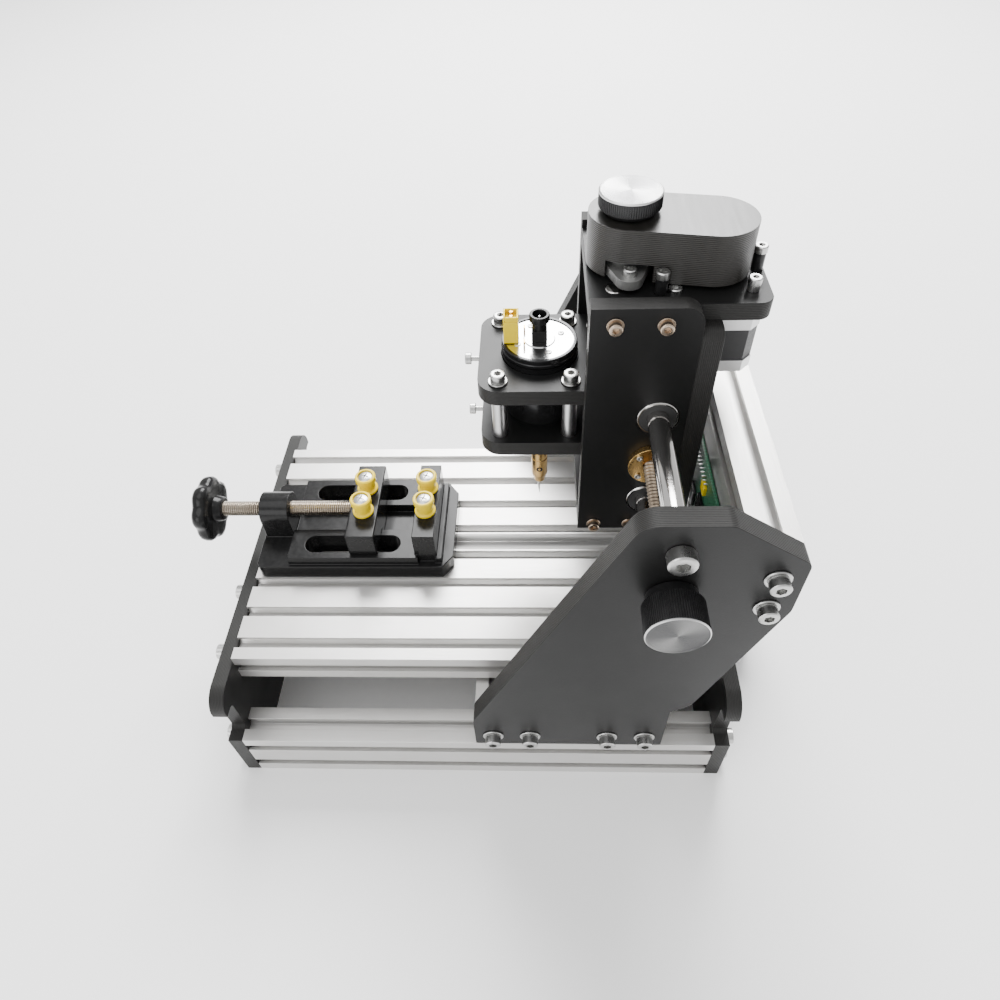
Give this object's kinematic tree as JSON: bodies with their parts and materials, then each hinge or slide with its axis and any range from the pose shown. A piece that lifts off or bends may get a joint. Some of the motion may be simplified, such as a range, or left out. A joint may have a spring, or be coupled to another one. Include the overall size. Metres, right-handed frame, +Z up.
{
  "type": "desktop cnc router",
  "caption": "Desktop CNC router with a slotted bed, moving gantry, screw-driven carriage and tool slide, motor spindle and a small screw vise on the bed.",
  "frame": {"origin": "centre of the base frame's footprint, on the bench", "axes": "+X along the gantry towards its hand knob, +Y along the bed from the vise's knob to the bed motor, +Z up"},
  "size_m": [0.2673, 0.339, 0.3015],
  "materials": {
    "profile_aluminium": "clear anodised extrusion with fine lengthwise grain",
    "black_board": "satin near-black board with fine layer lines on its edges",
    "screw_steel": "zinc plated socket screws and washers",
    "bronzed_screw": "zinc plated screws with a warm tint",
    "rod_steel": "ground and polished round steel",
    "thread_steel": "rolled steel thread, lightly oiled",
    "bearing_steel": "ground bearing steel",
    "motor_case": "black laminations between silver end caps",
    "brass": "turned brass",
    "knurled_black": "black anodised knurled rim with a spun dark face",
    "zinc_casting": "grey metal, dull",
    "pulley_aluminium": "turned aluminium",
    "belt_rubber": "black toothed rubber",
    "spindle_case": "dark plated motor can",
    "black_moulding": "glossy black moulded nylon",
    "yellow_moulding": "glossy yellow moulded plastic",
    "circuit_board": "dark green circuit board",
    "tool_steel": "ground tool steel"
  },
  "bodies": {
    "frame": {"base_rail_near": "profile_aluminium", "base_rail_far": "profile_aluminium", "bed_profiles": "profile_aluminium", "end_plate_front": "black_board", "end_plate_rear": "black_board", "frame_screws": "screw_steel", "y_rods": "rod_steel", "y_motor": "motor_case", "y_end_bearing": "bearing_steel", "vise_base": "black_moulding", "vise_pins_fixed": "yellow_moulding"},
    "y_drive": {"y_lead_screw": "thread_steel"},
    "gantry": {"gantry_plate_near": "black_board", "gantry_plate_far": "black_board", "cross_members": "profile_aluminium", "back_beam": "profile_aluminium", "gantry_screws": "screw_steel", "y_bearing_blocks": "profile_aluminium", "y_nut_block": "brass", "x_rods": "rod_steel", "x_motor": "motor_case", "controller_board": "circuit_board", "x_end_bearing": "bearing_steel"},
    "x_drive": {"x_lead_screw": "thread_steel", "x_knob": "knurled_black"},
    "carriage": {"carriage_plate_near": "black_board", "carriage_plate_far": "black_board", "carriage_back_plate": "black_board", "carriage_top_plate": "black_board", "carriage_bottom_plate": "black_board", "carriage_screws": "bronzed_screw", "x_bearings": "bearing_steel", "x_nut": "brass", "z_rods": "rod_steel", "z_flange_bearing": "zinc_casting", "z_motor": "motor_case", "belt_cover": "black_board", "timing_belt": "belt_rubber", "lid_screws": "screw_steel"},
    "z_drive": {"z_lead_screw": "thread_steel", "z_pulley": "pulley_aluminium", "z_knob": "knurled_black"},
    "z_motor_rotor": {"z_motor_pulley": "pulley_aluminium"},
    "tool_slide": {"slide_plate_upper": "black_board", "slide_plate_lower": "black_board", "standoffs": "zinc_casting", "slide_screws": "screw_steel", "z_bearings": "bearing_steel", "z_nut": "brass", "spindle_motor": "spindle_case", "spindle_cap": "spindle_case", "power_connector": "yellow_moulding", "power_jack": "black_moulding"},
    "spindle": {"spindle_shaft": "tool_steel", "collet": "brass", "cutter": "tool_steel"},
    "vise_jaw": {"vise_moving_jaw": "black_moulding", "vise_pins_moving": "yellow_moulding"},
    "vise_drive": {"vise_screw": "thread_steel", "vise_knob": "black_moulding"}
  },
  "joints": [
    {"name": "y_slide", "type": "slide", "parent": "frame", "child": "gantry", "axis": [0, 1, 0], "range_m": [-0.128, 0.028]},
    {"name": "y_screw_spin", "type": "hinge", "parent": "frame", "child": "y_drive", "pos_m": [0, 0, 0.028], "axis": [0, 1, 0], "range_deg": [-1261, 5761]},
    {"name": "x_slide", "type": "slide", "parent": "gantry", "child": "carriage", "axis": [1, 0, 0], "range_m": [-0.047, 0.057]},
    {"name": "x_screw_spin", "type": "hinge", "parent": "gantry", "child": "x_drive", "pos_m": [0, 0.0885, 0.188], "axis": [1, 0, 0], "range_deg": [-2566, 2116]},
    {"name": "z_slide", "type": "slide", "parent": "carriage", "child": "tool_slide", "axis": [0, 0, 1], "range_m": [-0.035, 0.03]},
    {"name": "z_screw_spin", "type": "hinge", "parent": "carriage", "child": "z_drive", "pos_m": [-0.006, 0.0725, 0.2], "axis": [0, 0, 1], "range_deg": [-1351, 1576]},
    {"name": "z_motor_spin", "type": "hinge", "parent": "carriage", "child": "z_motor_rotor", "pos_m": [0, 0.1065, 0.28], "axis": [0, 0, 1], "range_deg": [-1351, 1576]},
    {"name": "spindle_spin", "type": "hinge", "parent": "tool_slide", "child": "spindle", "pos_m": [-0.006, 0.0365, 0.16], "axis": [0, 0, 1], "continuous": true},
    {"name": "vise_jaw_slide", "type": "slide", "parent": "frame", "child": "vise_jaw", "axis": [0, 1, 0], "range_m": [-0.03, 0.021]},
    {"name": "vise_screw_spin", "type": "hinge", "parent": "vise_jaw", "child": "vise_drive", "pos_m": [-0.0062, -0.12, 0.109], "axis": [0, 1, 0], "range_deg": [-8641, 6049]}
  ],
  "couplings": [
    {"joint": "y_screw_spin", "follows": "y_slide", "rad_per_m": -785.4},
    {"joint": "x_screw_spin", "follows": "x_slide", "rad_per_m": -785.4},
    {"joint": "z_screw_spin", "follows": "z_slide", "rad_per_m": -785.4},
    {"joint": "z_motor_spin", "follows": "z_slide", "rad_per_m": -785.4},
    {"joint": "vise_screw_spin", "follows": "vise_jaw_slide", "rad_per_m": 5026.5}
  ]
}
